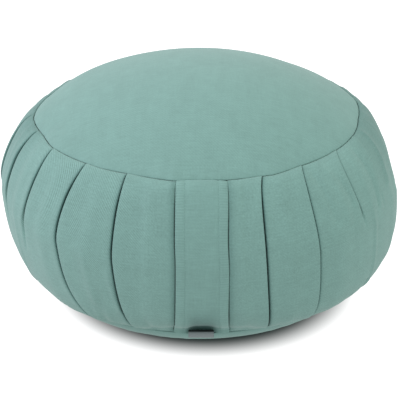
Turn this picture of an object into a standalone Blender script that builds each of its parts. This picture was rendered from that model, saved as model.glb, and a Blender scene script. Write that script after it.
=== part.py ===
"""A round meditation cushion with a knife-pleated side, a carrying strap and a folded seam label.

Metres, +Z up. The origin is on the floor at the centre of the base, and the strap faces -Y.
An azimuth is in degrees from -Y, positive towards +X. A height share v runs down the side,
from 0 at the top seam to 1 at the base seam.
"""

import math

import bmesh
import bpy
import numpy as np

MM = 0.001

# Driving dimensions.
BULGE_RADIUS = 178 * MM
BULGE_HEIGHT = 90 * MM
TOP_SEAM_RADIUS = 145 * MM
TOP_SEAM_HEIGHT = 155 * MM
CROWN_RISE = 43 * MM
CROWN_ROUNDNESS = 0.86  # under 1 the crown is flatter and rolls down faster at its seam
BASE_SEAM_RADIUS = 153 * MM
BASE_SEAM_HEIGHT = 20 * MM
FOOT_RADIUS = 122 * MM
LOWER_SIDE_SHIFT = 3.5 * MM  # the filling has settled towards +X below the bulge

# How the side leaves each seam, and how far it holds straight at the seam and at the bulge.
TOP_SEAM_SLOPE = math.radians(11)
TOP_SEAM_STRAIGHT = 20 * MM
ABOVE_BULGE_STRAIGHT = 17 * MM
BELOW_BULGE_STRAIGHT = 71 * MM
BASE_SEAM_STRAIGHT = 13 * MM
BASE_SEAM_SLOPE = math.radians(49)

CLOTH = 2 * MM
GAP = 0.3 * MM
SEAM_PRESS = 0.6  # under 1 the pleats stand open again sooner below a seam
COARSE_STEP = 5  # under the panels the body keeps one column in this many
PANEL_STEPS = 72
PANEL_MERGE = 0.05 * MM
NORMAL_STEP = 0.004  # the height share either side over which a normal is measured

# Heights down the side at which the body and the strap have a ring of points.
SIDE_SHARES = np.array(
    [0, 0.03, 0.07, 0.12, 0.18, 0.25, 0.32, 0.40, 0.48, 0.56, 0.64, 0.71, 0.78, 0.84, 0.90, 0.95, 1]
)

# Where the panels, and the body under them, have their rings of points: shares of the top seam's
# radius, and turns from the base seam to the foot.
CROWN_SHARES = np.array([0, 0.2, 0.4, 0.57, 0.71, 0.82, 0.90, 0.955, 1])
BASE_TURNS = np.array([0, 0.2, 0.4, 0.6, 0.8, 1])

# One knife pleat across its fold, in order away from the strap. open_at is the distance from the
# fold line in metres where the pleat stands open, pressed_at where a seam holds it flat, and
# height is the share of the pleat's lift: over panel, rolled lip, slot under the lip, under panel.
FOLD_COLUMNS = ("open_at", "pressed_at", "height")
FOLD_SECTION = [
    (-15.0 * MM, -15.0 * MM, 0.25),
    (-6.0 * MM, -6.0 * MM, 0.78),
    (-1.6 * MM, -1.6 * MM, 1.00),
    (0.0 * MM, -0.8 * MM, 0.78),
    (0.1 * MM, -0.3 * MM, 0.38),
    (-1.9 * MM, 0.2 * MM, -0.05),
    (-1.4 * MM, 0.8 * MM, -0.70),
    (1.2 * MM, 1.4 * MM, -0.80),
    (4.5 * MM, 4.5 * MM, -0.35),
    (11.0 * MM, 11.0 * MM, -0.08),
]

# A pleat's azimuth at the top seam, at the bulge and at the base seam, its lift, and the height
# shares between which it opens out flat. A pleat that is sewn down all the way opens past 1.
PLEAT_COLUMNS = ("top", "middle", "base", "lift", "opens_at", "flat_by")
PLEATS = [
    (-172.0, -171.0, -172.5, 2.8 * MM, 2.0, 2.1),
    (-155.5, -156.5, -154.0, 3.0 * MM, 2.0, 2.1),
    (-139.5, -138.0, -138.5, 2.6 * MM, 0.70, 0.88),
    (-122.5, -123.5, -121.0, 3.2 * MM, 2.0, 2.1),
    (-106.5, -107.5, -106.0, 2.8 * MM, 2.0, 2.1),
    (-90.0, -91.5, -90.0, 3.0 * MM, 2.0, 2.1),
    (-74.0, -72.0, -67.0, 3.0 * MM, 0.50, 0.68),
    (-56.2, -56.2, -54.5, 3.0 * MM, 0.52, 0.68),
    (-39.0, -40.8, -37.0, 3.5 * MM, 2.0, 2.1),
    (-23.2, -23.1, -21.0, 3.4 * MM, 2.0, 2.1),
    (20.2, 17.8, 17.8, 3.2 * MM, 2.0, 2.1),
    (35.2, 33.5, 33.5, 2.6 * MM, 2.0, 2.1),
    (51.5, 50.2, 51.5, 2.2 * MM, 0.36, 0.50),
    (68.5, 67.2, 67.0, 2.6 * MM, 0.60, 0.80),
    (84.0, 82.5, 83.5, 3.0 * MM, 2.0, 2.1),
    (99.5, 98.5, 98.0, 2.8 * MM, 2.0, 2.1),
    (115.5, 116.5, 115.0, 3.2 * MM, 2.0, 2.1),
    (131.0, 131.5, 132.5, 2.6 * MM, 0.62, 0.82),
    (147.5, 146.5, 147.0, 3.0 * MM, 2.0, 2.1),
    (163.5, 164.0, 162.0, 2.8 * MM, 2.0, 2.1),
]

STRAP_AZIMUTH = 0.8
STRAP_WIDTH_TOP = 41 * MM
STRAP_WIDTH_BASE = 43.5 * MM
STRAP_THICKNESS = 2.2 * MM
STRAP_PROUD = 1.2 * MM  # how far the strap stands off the body between its sewn ends
STRIP_COLUMNS = (-0.5, -0.17, 0.17, 0.5)  # where a strip has its columns of points, in shares of its width
SEAT_POINTS = 5  # columns of the body under the strap
SEAT_MARGIN = 0.6 * MM
SEAT_SLOPE = 1.2 * MM
SEAT_SHARE = 0.12  # the share of the side's height over which the strap sinks into a seam
# The sewn strap draws the side in above the base seam, fully behind it and less out to either side.
STRAP_DRAW = 4.5 * MM
DRAW_FROM_SHARE = 0.6
DRAW_FULL_WITHIN = 9
DRAW_NONE_BEYOND = 21

LABEL_WIDTH = 21 * MM
LABEL_THICKNESS = 1 * MM
# The label's folded cloth from one sewn end round to the other, outwards and upwards from the base seam.
LABEL_ROUTE = [
    (0.6 * MM, -1.0 * MM),
    (2.4 * MM, 0.4 * MM),
    (4.3 * MM, 1.8 * MM),
    (6.0 * MM, 2.3 * MM),
    (7.4 * MM, 1.6 * MM),
    (8.1 * MM, 0.0 * MM),
    (8.0 * MM, -1.8 * MM),
    (7.2 * MM, -3.2 * MM),
    (5.6 * MM, -3.7 * MM),
    (3.4 * MM, -3.4 * MM),
    (0.8 * MM, -2.5 * MM),
]

CLOTH_COLOUR = (0.235, 0.395, 0.345, 1)
LABEL_COLOUR = (0.030, 0.034, 0.037, 1)


def table(columns, rows):
    """A table's columns as arrays, by name."""
    return dict(zip(columns, np.array(rows, float).T))


def smooth_step(low, high, x):
    t = np.clip((x - low) / (high - low), 0, 1)
    return t * t * (3 - 2 * t)


def bezier(start, start_handle, end_handle, end, t):
    """Points of a cubic Bezier arc at the parameters t, one row each."""
    t = np.asarray(t, float)[:, None]
    return (
        (1 - t) ** 3 * np.array(start)
        + 3 * t * (1 - t) ** 2 * np.array(start_handle)
        + 3 * t**2 * (1 - t) * np.array(end_handle)
        + t**3 * np.array(end)
    )


def side_profile(v):
    """Radius and height of the side at height shares v: one arc from seam to bulge, one to the base."""
    top_seam = (TOP_SEAM_RADIUS, TOP_SEAM_HEIGHT)
    bulge = (BULGE_RADIUS, BULGE_HEIGHT)
    base_seam = (BASE_SEAM_RADIUS, BASE_SEAM_HEIGHT)
    top_handle = (
        TOP_SEAM_RADIUS + TOP_SEAM_STRAIGHT * math.cos(TOP_SEAM_SLOPE),
        TOP_SEAM_HEIGHT - TOP_SEAM_STRAIGHT * math.sin(TOP_SEAM_SLOPE),
    )
    base_handle = (
        BASE_SEAM_RADIUS + BASE_SEAM_STRAIGHT * math.cos(BASE_SEAM_SLOPE),
        BASE_SEAM_HEIGHT + BASE_SEAM_STRAIGHT * math.sin(BASE_SEAM_SLOPE),
    )
    above = (BULGE_RADIUS, BULGE_HEIGHT + ABOVE_BULGE_STRAIGHT)
    below = (BULGE_RADIUS, BULGE_HEIGHT - BELOW_BULGE_STRAIGHT)
    v = np.asarray(v, float)
    upper = bezier(top_seam, top_handle, above, bulge, np.clip(2 * v, 0, 1))
    lower = bezier(bulge, below, base_handle, base_seam, np.clip(2 * v - 1, 0, 1))
    return np.where((v < 0.5)[:, None], upper, lower)


def crown_profile():
    """The crown's outer surface from its middle to the top seam: a dome that rolls down to the seam."""
    rise = CROWN_RISE * (1 - CROWN_SHARES**2) ** CROWN_ROUNDNESS
    return np.stack([TOP_SEAM_RADIUS * CROWN_SHARES, TOP_SEAM_HEIGHT + rise], 1)


def base_profile():
    """The base panel's outer surface from its seam to the edge of the flat foot: a quarter ellipse."""
    angle = BASE_TURNS * math.pi / 2
    radius = FOOT_RADIUS + (BASE_SEAM_RADIUS - FOOT_RADIUS) * np.cos(angle)
    return np.stack([radius, (BASE_SEAM_HEIGHT - GAP) * (1 - np.sin(angle))], 1)


def outward(profile):
    """Unit normals of a profile that runs from the crown down to the foot, pointing out of the cushion."""
    along = np.gradient(profile, axis=0)
    normal = np.stack([-along[:, 1], along[:, 0]], 1)
    return normal / np.linalg.norm(normal, axis=1, keepdims=True)


def crown_inset(depth):
    """The crown's surface a depth further in, its middle kept on the axis."""
    inner = crown_profile() - depth * outward(crown_profile())
    inner[0, 0] = 0
    return inner


def base_inset(depth):
    """The base's surface a depth further in: level at its seam and under the foot."""
    inner = base_profile() - depth * outward(base_profile())
    inner[0] = (BASE_SEAM_RADIUS - depth, BASE_SEAM_HEIGHT - GAP)
    inner[-1] = (FOOT_RADIUS, depth)
    return inner


def side_normals(v):
    """Outward normals of the side, from points a little either side of each height share."""
    across = side_profile(np.clip(v + NORMAL_STEP, 0, 1)) - side_profile(np.clip(v - NORMAL_STEP, 0, 1))
    normal = np.stack([-across[:, 1], across[:, 0]], 1)
    return normal / np.linalg.norm(normal, axis=1, keepdims=True)


def lean(v):
    """How far the side is pushed towards +X at height share v: nothing at the seams."""
    return LOWER_SIDE_SHIFT * math.sin(math.pi * max(0.0, 2 * v - 1))


def around(azimuths, radii, heights, shift=0.0):
    """Points in space from azimuths in degrees, radii and heights."""
    angle = np.radians(azimuths)
    return np.stack(
        [radii * np.sin(angle) + shift, -radii * np.cos(angle), heights + 0 * angle], -1
    )


def new_object(name, mesh, colour, collection):
    obj = bpy.data.objects.new(name, mesh)
    collection.objects.link(obj)
    material = bpy.data.materials.new(name + "_cloth")
    material.use_nodes = True
    shader = material.node_tree.nodes["Principled BSDF"]
    shader.inputs["Base Color"].default_value = colour
    shader.inputs["Roughness"].default_value = 0.9
    shader.inputs["Metallic"].default_value = 0.0
    mesh.materials.append(material)
    return obj


def loft(name, vertices, faces):
    """One mesh from stacked rings of points, its faces turned outwards."""
    mesh = bpy.data.meshes.new(name)
    mesh.from_pydata(vertices, [], faces)
    work = bmesh.new()
    work.from_mesh(mesh)
    bmesh.ops.recalc_face_normals(work, faces=work.faces)
    work.to_mesh(mesh)
    work.free()
    return mesh


def pleat_azimuths(pleats, v):
    """Each pleat's azimuth at height share v, on the parabola through its three table values."""
    top, middle, base = pleats["top"], pleats["middle"], pleats["base"]
    return (
        top * (1 - v) * (1 - 2 * v)
        + middle * 4 * v * (1 - v)
        + base * v * (2 * v - 1)
    )


def seat_share(v):
    """1 at both seams, where the strap is sunk into the body, and 0 over the free side."""
    return 1 - smooth_step(0, SEAT_SHARE, np.minimum(v, 1 - v))


def strap_draw(v, azimuths):
    """How far the strap draws the side in at height share v: a hump of down²(1 − down), whose peak of
    4/27 is two thirds of the way from DRAW_FROM_SHARE to the base seam, and which fades to both sides."""
    down = np.clip((v - DRAW_FROM_SHARE) / (1 - DRAW_FROM_SHARE), 0, 1)
    beside = 1 - smooth_step(DRAW_FULL_WITHIN, DRAW_NONE_BEYOND, np.abs(azimuths - STRAP_AZIMUTH))
    return STRAP_DRAW * down**2 * (1 - down) / (4 / 27) * beside


def strap_width(v):
    return STRAP_WIDTH_TOP + (STRAP_WIDTH_BASE - STRAP_WIDTH_TOP) * v


def body_ring(v, radius):
    """Azimuths and lifts of the body's points round one ring, in order from the back round the front."""
    pleats = table(PLEAT_COLUMNS, PLEATS)
    fold = table(FOLD_COLUMNS, FOLD_SECTION)
    lines = pleat_azimuths(pleats, v)
    flattened = np.array([smooth_step(a, b, v) for a, b in zip(pleats["opens_at"], pleats["flat_by"])])
    openness = math.sin(math.pi * v) ** SEAM_PRESS * (1 - flattened)
    azimuths, lifts = [], []
    for line, lift, openness_here in zip(lines, pleats["lift"], openness):
        away = 1 if line > 0 else -1
        distance = fold["pressed_at"] + (fold["open_at"] - fold["pressed_at"]) * openness_here
        points = line + away * np.degrees(distance / radius)
        heights = fold["height"] * lift * openness_here
        azimuths.append(points[::away])
        lifts.append(heights[::away])
    ring_azimuths, ring_lifts = [], []
    for index, (here, heights) in enumerate(zip(azimuths, lifts)):
        ring_azimuths.extend(here)
        ring_lifts.extend(heights)
        after = azimuths[index + 1][0] if index + 1 < len(azimuths) else azimuths[0][0] + 360
        if here[-1] < STRAP_AZIMUTH < after:
            edge = strap_width(v) / 2 + SEAT_MARGIN
            sunk = -(STRAP_THICKNESS + GAP) * seat_share(v)
            inner, outer = np.degrees(np.array([edge, edge + SEAT_SLOPE]) / radius)
            left, right = STRAP_AZIMUTH - outer, STRAP_AZIMUTH + outer
            ring_azimuths.extend([(here[-1] + left) / 2, left])
            ring_azimuths.extend(STRAP_AZIMUTH + inner * np.linspace(-1, 1, SEAT_POINTS))
            ring_azimuths.extend([right, (right + after) / 2])
            ring_lifts.extend([0, 0] + [sunk] * SEAT_POINTS + [0, 0])
        else:
            ring_azimuths.append((here[-1] + after) / 2)
            ring_lifts.append(0)
    ring_azimuths = np.array(ring_azimuths)
    return ring_azimuths, np.array(ring_lifts) - strap_draw(v, ring_azimuths)


def ring_faces(first, second, count):
    """Quads between two rings of the same count, given their first vertices."""
    return [
        (first + i, first + (i + 1) % count, second + (i + 1) % count, second + i)
        for i in range(count)
    ]


def cap_faces(ring, coarse_first, columns, count):
    """Faces between a fine ring and a coarse one that keeps only some of its columns."""
    faces = []
    for j, start in enumerate(columns):
        last = columns[j + 1] if j + 1 < len(columns) else count
        fine = [ring + k % count for k in range(start, last + 1)]
        faces.append(fine + [coarse_first + (j + 1) % len(columns), coarse_first + j])
    return faces


def pleated_body(collection):
    """The filled body: pleated side rings, and inside both seams a crown and a base under the panels."""
    vertices, faces, first = [], [], []

    def add(points):
        first.append(len(vertices))
        vertices.extend(map(tuple, points))

    profile, normals = side_profile(SIDE_SHARES), side_normals(SIDE_SHARES)
    profile[0] += (2 * GAP, -GAP)
    crown = crown_inset(CLOTH + GAP)
    crown[-1] -= (0, GAP)
    base = base_inset(CLOTH + GAP)

    seam_azimuths, _ = body_ring(0, TOP_SEAM_RADIUS)
    add(around(seam_azimuths, *crown[-1]))
    for v, (radius, height), normal in zip(SIDE_SHARES, profile, normals):
        azimuths, lifts = body_ring(v, radius)
        add(around(azimuths, radius + lifts * normal[0], height + lifts * normal[1], lean(v)))
    base_azimuths, _ = body_ring(1, BASE_SEAM_RADIUS)
    add(around(base_azimuths, base[0, 0], BASE_SEAM_HEIGHT))
    count = len(seam_azimuths)
    for upper, lower in zip(first[:-1], first[1:]):
        faces += ring_faces(upper, lower, count)

    columns = list(range(0, count, COARSE_STEP))
    ends = (
        (first[0], seam_azimuths, crown[-2:0:-1]),
        (first[-1], base_azimuths, base[1:]),
    )
    for fine, azimuths, inward in ends:
        coarse = []
        for radius, height in inward:
            coarse.append(len(vertices))
            vertices.extend(map(tuple, around(azimuths[columns], radius, height)))
        faces += cap_faces(fine, coarse[0], columns, count)
        for outer, inner in zip(coarse[:-1], coarse[1:]):
            faces += ring_faces(outer, inner, len(columns))
        faces.append([coarse[-1] + j for j in range(len(columns))])
    return new_object("pleated_body", loft("pleated_body", vertices, faces), CLOTH_COLOUR, collection)


def turned_panel(name, section, collection):
    """A round panel turned about Z from its closed half section, which runs top to bottom."""
    mesh = bpy.data.meshes.new(name)
    points = [(radius, 0, height) for radius, height in section]
    mesh.from_pydata(points, [(i, i + 1) for i in range(len(points) - 1)], [])
    obj = new_object(name, mesh, CLOTH_COLOUR, collection)
    screw = obj.modifiers.new("turn", "SCREW")
    screw.axis = "Z"
    screw.steps = PANEL_STEPS
    screw.render_steps = PANEL_STEPS
    screw.use_merge_vertices = True
    screw.merge_threshold = PANEL_MERGE
    return obj


def top_panel(collection):
    section = np.concatenate([crown_profile(), crown_inset(CLOTH)[::-1]])
    return turned_panel("top_panel", section, collection)


def base_panel(collection):
    inner = base_inset(CLOTH)[::-1]
    section = np.concatenate([[(0, CLOTH)], inner, base_profile(), [(0, 0)]])
    return turned_panel("base_panel", section, collection)


def strip(name, route, widths, thickness, azimuth, colour, collection):
    """A flat strip of cloth that follows a route of radii and heights at one azimuth."""
    angle = math.radians(azimuth)
    outwards = np.array([math.sin(angle), -math.cos(angle)])
    across = np.array([math.cos(angle), math.sin(angle)])
    vertices = []
    for (radius, height), width in zip(route, widths):
        for side in STRIP_COLUMNS:
            place = radius * outwards + side * width * across
            vertices.append((*place, height))
    per_row = len(STRIP_COLUMNS)
    faces = [
        (i * per_row + j, i * per_row + j + 1, (i + 1) * per_row + j + 1, (i + 1) * per_row + j)
        for i in range(len(route) - 1)
        for j in range(per_row - 1)
    ]
    mesh = bpy.data.meshes.new(name)
    mesh.from_pydata(vertices, [], faces)
    obj = new_object(name, mesh, colour, collection)
    solid = obj.modifiers.new("thickness", "SOLIDIFY")
    solid.thickness = thickness
    solid.offset = 0
    solid.use_even_offset = True
    return obj


def handle_strap(collection):
    """The strap follows the bulge, stands a little proud of it, and sinks into both seams."""
    profile, normals = side_profile(SIDE_SHARES), side_normals(SIDE_SHARES)
    profile[0] += (3 * GAP, -GAP)
    profile[-1] += (GAP, GAP)
    seat = seat_share(SIDE_SHARES)
    sunk = -(STRAP_THICKNESS + GAP) * seat
    free = STRAP_PROUD * np.sin(np.pi * SIDE_SHARES) * (1 - seat)
    drawn = strap_draw(SIDE_SHARES, STRAP_AZIMUTH)
    middle = sunk + 2 * GAP + free - drawn + STRAP_THICKNESS / 2
    route = profile + normals * middle[:, None]
    widths = strap_width(SIDE_SHARES)
    return strip("handle_strap", route, widths, STRAP_THICKNESS, STRAP_AZIMUTH, CLOTH_COLOUR, collection)


def seam_label(collection):
    """The label is folded once, and both its ends are caught in the base seam at the foot of the strap."""
    route = np.array(LABEL_ROUTE) + (BASE_SEAM_RADIUS, BASE_SEAM_HEIGHT)
    widths = np.full(len(route), LABEL_WIDTH)
    return strip("seam_label", route, widths, LABEL_THICKNESS, STRAP_AZIMUTH, LABEL_COLOUR, collection)


def main():
    for obj in list(bpy.data.objects):
        bpy.data.objects.remove(obj)
    collection = bpy.data.collections.new("meditation_cushion")
    bpy.context.scene.collection.children.link(collection)
    pleated_body(collection)
    top_panel(collection)
    base_panel(collection)
    handle_strap(collection)
    seam_label(collection)


main()
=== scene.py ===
"""A round meditation cushion of sea-green cotton twill: a knife-pleated side, a domed top panel, a
flat base, a carrying strap and a folded seam label, on a plain pale floor.

Metres, +Z up. The origin is on the floor at the centre of the base, and the strap faces -Y. An
azimuth is in degrees from -Y, positive towards +X. A height share v runs down the side, from 0 at
the top seam to 1 at the base seam. Heights over the side are measured along its normal.
"""

import math

import bpy
import numpy as np
from mathutils import Matrix, Vector

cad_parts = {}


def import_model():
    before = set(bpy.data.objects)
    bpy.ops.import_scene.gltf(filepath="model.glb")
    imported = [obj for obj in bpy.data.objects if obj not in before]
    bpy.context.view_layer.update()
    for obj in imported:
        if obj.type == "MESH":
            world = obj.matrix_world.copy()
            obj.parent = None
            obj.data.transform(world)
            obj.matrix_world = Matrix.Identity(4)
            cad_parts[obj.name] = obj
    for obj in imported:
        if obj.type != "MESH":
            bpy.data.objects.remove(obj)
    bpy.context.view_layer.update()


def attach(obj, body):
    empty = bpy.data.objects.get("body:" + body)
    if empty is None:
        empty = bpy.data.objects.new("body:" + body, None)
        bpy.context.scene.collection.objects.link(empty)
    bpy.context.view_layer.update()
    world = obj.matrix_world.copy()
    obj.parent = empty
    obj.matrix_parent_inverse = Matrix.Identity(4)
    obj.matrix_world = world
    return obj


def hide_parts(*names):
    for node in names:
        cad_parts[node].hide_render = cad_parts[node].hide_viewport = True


MM = 0.001

# The cushion's own sizes. The solids have them too, but for a base seam a little higher.
BULGE_RADIUS = 178 * MM
BULGE_HEIGHT = 90 * MM
TOP_SEAM_RADIUS = 145 * MM
TOP_SEAM_HEIGHT = 155 * MM
CROWN_RISE = 43.8 * MM
CROWN_ROUNDNESS = 0.86
BASE_SEAM_RADIUS = 153 * MM
BASE_SEAM_HEIGHT = 17.3 * MM
FOOT_RADIUS = 122 * MM
LOWER_SIDE_SHIFT = 3.5 * MM
TOP_SEAM_SLOPE = math.radians(11)
TOP_SEAM_STRAIGHT = 20 * MM
ABOVE_BULGE_STRAIGHT = 17 * MM
BELOW_BULGE_STRAIGHT = 71 * MM
BASE_SEAM_STRAIGHT = 13 * MM
BASE_SEAM_SLOPE = math.radians(49)
BASE_TURN = 11 * MM
BASE_TURN_SLOPE = math.radians(70)
FOOT_TURN = 16 * MM

# A pleat's azimuth at each of PLEAT_SHARES of the way down, the lift of its fold over the side, how
# wide its mouth stands open, how deep it runs in, how high the panel swells beyond it, and the
# height shares between which it opens out flat. A pleat that is sewn down all the way opens past 1.
PLEAT_SHARES = (0.0, 0.12, 0.4, 0.7, 1.0)
PLEAT_COLUMNS = (
    *("seam", "top", "middle", "lower", "base"),
    *("lift_mm", "mouth_mm", "depth_mm", "hump_mm", "opens_at", "flat_by"),
)
PLEATS = [
    (-172.0, -171.6, -171.0, -171.2, -172.5, 1.4, 1.6, 6.5, 0.8, 2.0, 2.1),
    (-155.5, -156.0, -156.5, -155.8, -154.0, 1.6, 1.9, 7.0, 0.9, 2.0, 2.1),
    (-139.5, -138.9, -138.2, -138.0, -138.5, 1.2, 1.3, 6.0, 0.7, 0.70, 0.88),
    (-122.5, -123.1, -123.6, -122.8, -121.0, 1.6, 2.0, 7.0, 1.0, 2.0, 2.1),
    (-106.5, -107.1, -107.6, -107.1, -106.0, 1.4, 1.6, 6.5, 0.8, 2.0, 2.1),
    (-85.5, -83.6, -85.6, -87.0, -88.0, 1.2, 2.4, 6.5, 3.0, 0.44, 0.74),
    (-71.0, -69.0, -70.5, -67.6, -66.0, 1.4, 2.8, 6.5, 2.7, 0.33, 0.58),
    (-54.6, -53.3, -56.1, -56.7, -58.1, 1.4, 2.4, 6.5, 1.4, 0.33, 0.60),
    (-37.9, -37.8, -40.8, -36.3, -29.5, 1.5, 2.5, 7.0, 0.9, 2.0, 2.1),
    (-22.3, -22.0, -22.8, -21.0, -19.3, 1.4, 1.6, 7.5, 0.6, 2.0, 2.1),
    (21.4, 19.0, 17.6, 18.6, 20.0, 1.2, 1.3, 8.0, 0.6, 2.0, 2.1),
    (37.0, 34.0, 33.4, 33.7, 31.7, 1.1, 0.9, 3.0, 0.4, 2.0, 2.1),
    (54.6, 50.4, 51.8, 52.8, 55.1, 0.8, 1.0, 1.4, 0.2, 0.28, 0.50),
    (68.8, 65.8, 64.5, 65.5, 67.0, 2.0, 0.3, 1.0, 0.0, 0.22, 0.48),
    (84.0, 83.3, 82.7, 82.8, 83.5, 1.4, 1.6, 6.0, 0.9, 2.0, 2.1),
    (99.5, 99.0, 98.5, 98.3, 98.0, 1.4, 1.6, 6.5, 0.8, 2.0, 2.1),
    (115.5, 116.0, 116.5, 116.1, 115.0, 1.6, 2.0, 7.0, 1.0, 2.0, 2.1),
    (131.0, 131.1, 131.5, 132.1, 132.5, 1.2, 1.3, 6.0, 0.7, 0.62, 0.82),
    (147.5, 147.0, 146.5, 146.6, 147.0, 1.6, 1.9, 7.0, 0.9, 2.0, 2.1),
    (163.5, 163.8, 164.0, 163.5, 162.0, 1.4, 1.6, 6.5, 0.8, 2.0, 2.1),
]

# One knife pleat across its fold, away from the strap: where its control points lie from the fold
# line, how far each follows the open mouth, where it lies once the pleat has opened out flat, its
# height as shares of the pleat's lift, depth and hump, and how much painted shade darkens the cloth
# there, deep in the pocket.
# Over panel, rolled lip, pocket, far wall, under panel.
FOLD_COLUMNS = (
    *("folded_at_mm", "with_mouth", "flat_at_mm"),
    *("of_lift", "of_depth", "of_hump", "painted_shade"),
)
FOLD_SECTION = [
    (-15.0, 0.00, -16.0, 0.28, 0.00, 0.00, 0.0),
    (-10.5, 0.00, -12.4, 0.58, 0.00, 0.00, 0.0),
    (-6.5, 0.00, -9.4, 0.86, 0.00, 0.00, 0.0),
    (-3.2, 0.00, -7.0, 1.00, 0.00, 0.00, 0.0),
    (-1.2, 0.00, -5.2, 1.05, 0.00, 0.00, 0.0),
    (-0.1, 0.00, -3.8, 1.04, 0.00, 0.00, 0.0),
    (0.35, 0.00, -2.7, 0.80, 0.00, 0.00, 0.4),
    (0.1, 0.00, -1.8, 0.40, 0.00, 0.00, 0.8),
    (-1.0, 0.00, -1.0, 0.12, -0.14, 0.00, 1.0),
    (-2.6, 0.00, -0.3, 0.00, -0.45, 0.00, 1.0),
    (-3.4, 0.00, 0.4, 0.00, -0.85, 0.00, 1.0),
    (-1.8, 0.10, 1.1, 0.00, -1.10, 0.00, 1.0),
    (-0.2, 0.50, 1.8, 0.00, -1.12, 0.00, 1.0),
    (0.0, 0.86, 2.5, 0.00, -0.94, 0.00, 1.0),
    (0.0, 1.00, 3.3, 0.00, -0.58, 0.10, 1.0),
    (0.1, 1.00, 4.2, 0.00, -0.26, 0.40, 1.0),
    (0.4, 1.00, 5.3, 0.00, -0.07, 0.72, 0.7),
    (1.3, 1.00, 6.8, 0.00, -0.01, 0.95, 0.1),
    (4.0, 1.00, 9.0, 0.00, 0.00, 1.00, 0.0),
    (9.5, 0.60, 12.0, 0.00, 0.00, 0.60, 0.0),
]
FULL_PAINTED_SHADE_DEPTH = 4 * MM  # a shallower pleat gets less painted shade, as it lets light into its pocket
PANEL_POINTS = 4  # control points across a panel, between two folds
PANEL_POINTS_LEFT = 3  # and between a fold and the strap, to its left and to its right
PANEL_POINTS_RIGHT = 1
PANEL_PUFF = 0.9 * MM
SEAM_LIFT = 0.6 * MM  # what the layers of a pleat still stand up where a seam presses them
SEAM_DEPTH = 1.2 * MM
SEAM_MOUTH = 0.1 * MM
SLOT_WITHIN = 0.04  # the height share over which a pleat opens as a thin slot by either seam
SLOT_SHARE = 0.35
OPEN_WITHIN_TOP = 0.24  # the height share over which it opens to its full width
OPEN_WITHIN_BASE = 0.18

# The strap, and the body's section beside and under it, outwards from the strap's edge. Its last
# column is the painted shade that darkens the gap beside the strap.
STRAP_AZIMUTH = 0.8
UP = np.array([0, 0, 1.0])
STRAP_ANGLE = math.radians(STRAP_AZIMUTH)
STRAP_OUTWARDS = np.array([math.sin(STRAP_ANGLE), -math.cos(STRAP_ANGLE), 0])
STRAP_SIDEWAYS = np.cross(UP, STRAP_OUTWARDS)
STRAP_WIDTH_TOP = 41.4 * MM
STRAP_WIDTH_BASE = 46.1 * MM
STRAP_DRIFT = 0.8 * MM
STRAP_DRIFTS = [(0.3, 0.48, 1), (0.5, 0.7, 0.35)]  # between which height shares, and how much
STRAP_WIDENS_EVENLY = 0.45  # the share of its widening that comes evenly down it
STRAP_WIDENS_BELOW = (0.5, 0.9)  # the height shares between which the rest comes
STRAP_THICKNESS = 2.2 * MM
STRAP_UNDERSIDE = -0.9 * MM
STRAP_END_TOP = (1.5, 2.5)  # its turn in to a seam, as shares of a rim's own depth and length
STRAP_END_BASE = (1.2, 2.0)
STRAP_WAVE = (0.3 * MM, 17 * MM)  # its height, and the length over the cloth for each radian
EDGE_WANDER = (0.25 * MM, 11 * MM)  # how far its right edge strays, in the same way
STRAP_BOW = 0.85  # the share of the side's own roundness that the strap follows
STRAP_DRAW = 4.5 * MM  # how far the strap draws the side in, at most
DRAW_FROM_SHARE = 0.6
DRAW_FULL_WITHIN = 9  # degrees from the strap's middle
DRAW_NONE_BEYOND = 21
BESIDE_COLUMNS = ("from_edge_mm", "with_mouth", "of_lift", "of_depth", "painted_shade")
BESIDE_SECTION = [
    (-12.0, 0.0, 0.00, 0.00, 0.0),
    (-7.0, 0.0, 0.00, 0.00, 0.3),
    (-4.0, 0.0, 0.00, -0.30, 0.44),
    (-2.4, 0.0, 0.00, -0.85, 0.44),
    (-1.0, 0.1, 0.00, -1.05, 0.40),
    (0.0, 0.4, 0.05, -0.80, 0.3),
    (0.2, 0.7, 0.25, -0.40, 0.2),
    (0.6, 1.0, 0.50, -0.16, 0.2),
    (1.3, 1.1, 0.70, -0.06, 0.3),
    (2.4, 1.1, 0.85, -0.02, 0.25),
    (4.2, 1.0, 0.95, 0.00, 0.06),
    (8.5, 0.6, 0.95, 0.00, 0.0),
]
BESIDE_PAINTED_SHADE_TOP = 0.9  # the share of this painted shade that is left towards the top seam
BESIDE_PAINTED_SHADE_GROWS = (0.15, 0.6)  # the height shares between which it grows to the whole
BESIDE_OPENS = (0.015, 0.09)  # the height shares between which the body falls away beside the strap
BESIDE_SHUTS = 0.05  # the height share over which it comes back above the base seam
BESIDE_LIFT = 1.3 * MM
BESIDE_SEAM_DEPTH = 0.3 * MM
BESIDE_DEPTH = 2.4 * MM
BESIDE_MOUTH_LEFT = 0.4 * MM
BESIDE_MOUTH_RIGHT = 0.3 * MM
SEAT = -1.6 * MM  # how far the body is pressed in under the strap

ARC_POINTS = 400  # how finely the length down the side is measured
SAMPLES_A_SPAN = 2
SIDE_ROWS = 89
ROWS_GATHER = 0.45  # from 0, evenly spaced, to 1, as the heights of a circle's even steps
SEAM_ROUND = 0.4 * MM  # the radius at which the cloth turns in to a seam
SEAM_GROOVE = 0.45 * MM  # the width of the groove between the top panel and the side
BASE_GROOVE = 0.15 * MM
SEAM_WALL = 1.2 * MM  # how far the cloth runs straight down into it
SEAM_WALL_IN = 0.1 * MM
TUCK = 3.5 * MM  # how far the body runs in under a panel before it turns
INNER_DROP = 5 * MM  # how far the body lies below the crown, under the top panel
UNDER_CROWN_SHARES = (0.85, 0.55, 0.25)
UNDER_BASE_SHARES = (0.8, 0.5)
UNDER_BASE_HEIGHT = 3 * MM
PANEL_CLOTH_SHIFT = 0.0737  # from one panel to the next, so that the weave never repeats
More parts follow.
